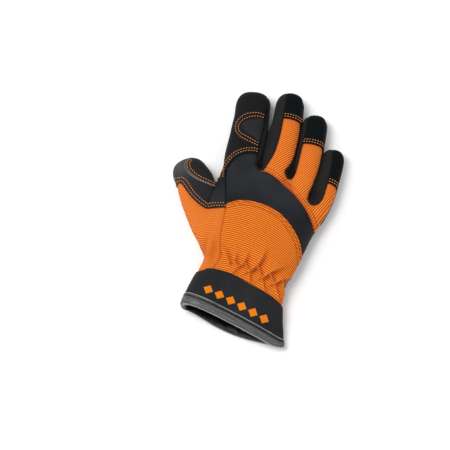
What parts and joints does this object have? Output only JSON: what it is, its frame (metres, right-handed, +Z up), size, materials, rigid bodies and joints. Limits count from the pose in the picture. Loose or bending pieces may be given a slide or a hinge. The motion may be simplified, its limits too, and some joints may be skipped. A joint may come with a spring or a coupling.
{
  "type": "child work glove",
  "caption": "Child-size right-hand work glove with black palm leather, orange ribbed knit back, padded index finger and thumb and a bound elastic cuff, lying palm down and hollow.",
  "frame": {"origin": "on the floor under the middle of the palm, on the palm's flat resting face", "axes": "+Y towards the fingertips, +X towards the little finger, +Z up out of the back of the hand"},
  "size_m": [0.1194, 0.1872, 0.028],
  "materials": {
    "leather": "matte black synthetic leather, finely grained",
    "suede": "black suede with a short nap, double-stitched in orange",
    "knit": "orange fine-ribbed stretch knit",
    "sidewall": "brown-black smooth stretch fabric",
    "neoprene": null,
    "binding": "grey coated binding with a soft shine",
    "lining": "black towelling"
  },
  "bodies": {
    "root": {"palm_leather": "leather", "sidewall_index_middle": "sidewall", "sidewall_middle_ring": "sidewall", "sidewall_ring_little": "sidewall", "middle_cap": "suede", "ring_cap": "suede", "little_cap": "suede", "index_back": "leather", "cuff_band": "neoprene", "thumb_back": "leather", "thumb_gusset": "knit", "back_panel": "knit", "knuckle_band": "suede", "finger_panel": "knit", "index_pad": "suede", "thumb_pad": "suede", "hem_binding": "binding", "lining": "lining"}
  },
  "joints": []
}
